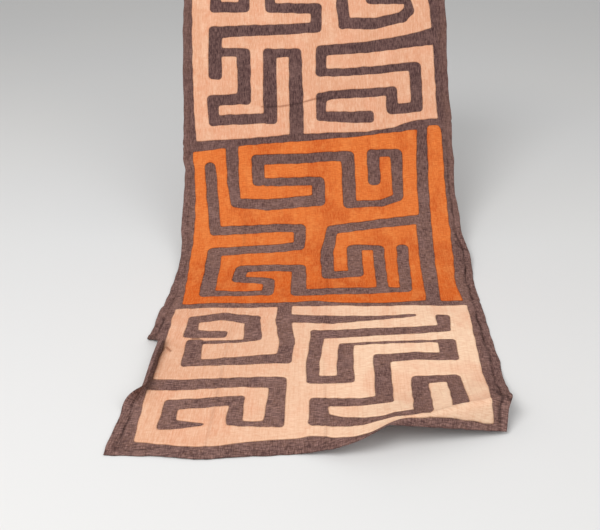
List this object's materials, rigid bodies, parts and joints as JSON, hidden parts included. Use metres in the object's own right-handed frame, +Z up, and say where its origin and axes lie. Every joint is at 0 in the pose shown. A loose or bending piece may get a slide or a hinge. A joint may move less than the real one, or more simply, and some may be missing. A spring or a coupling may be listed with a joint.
{
  "type": "kuba raffia cloth",
  "caption": "Long raffia cloth of pale and orange cut-work panels sewn on a dark ground in a meander, hung from its top edge and swept forward onto the floor.",
  "frame": {"origin": "middle of the cloth's top edge, on the back of the ground", "axes": "+Z up, -Y towards the viewer along the floor, +X to the viewer's right across the cloth"},
  "size_m": [0.7594, 1.296, 0.692],
  "materials": {
    "dark_raffia": "matte heathered plain weave",
    "pale_raffia": "matte streaked plain weave",
    "orange_raffia": "matte streaked plain weave"
  },
  "bodies": {
    "root": {"ground_lower": "dark_raffia", "ground_middle": "dark_raffia", "ground_upper": "dark_raffia", "panel_lower": "pale_raffia", "panel_middle": "orange_raffia", "strip_middle": "orange_raffia", "panel_upper": "pale_raffia"}
  },
  "joints": []
}
